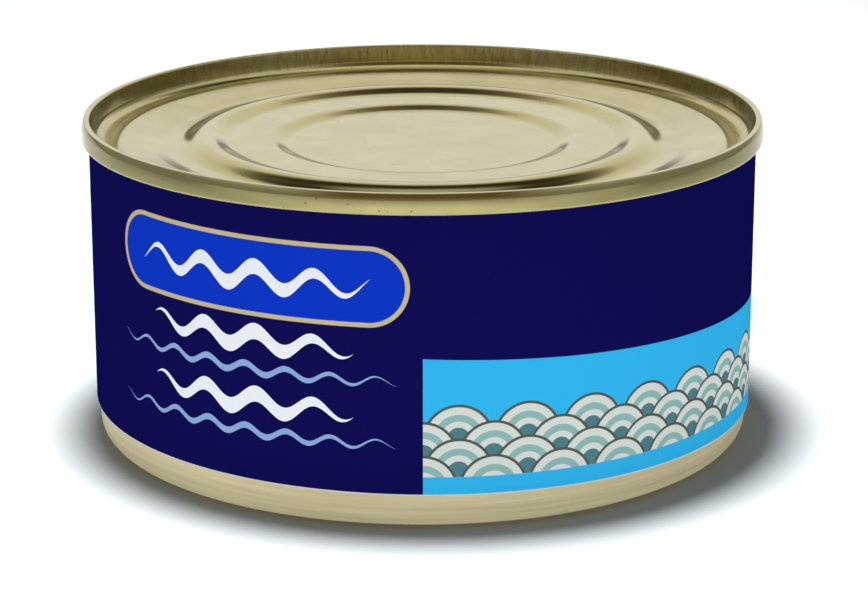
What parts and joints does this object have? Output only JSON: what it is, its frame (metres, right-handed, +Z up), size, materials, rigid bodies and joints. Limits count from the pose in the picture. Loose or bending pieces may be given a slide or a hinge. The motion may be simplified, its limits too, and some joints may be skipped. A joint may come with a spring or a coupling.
{
  "type": "tuna can",
  "caption": "Low round food can, shut and full: a gold-lacquered drawn body, a ringed end held by a double seam, and a paper label round the wall.",
  "frame": {"origin": "middle of the foot ring, on the surface that the can stands on", "axes": "+Z up along the axis of the can; -Y is the front of the label, where the edge of the light panel runs down the middle; +X is to the right of that front"},
  "size_m": [0.0856, 0.0856, 0.0406],
  "materials": {
    "body_tinplate": "drawn tinplate under a thin gold lacquer, satin",
    "end_tinplate": "pressed tinplate under a thin gold lacquer, fairly bright",
    "label_paper": "printed and varnished paper, navy with a light blue panel"
  },
  "bodies": {
    "root": {"can_body": "body_tinplate", "top_end": "end_tinplate", "label": "label_paper"}
  },
  "joints": []
}
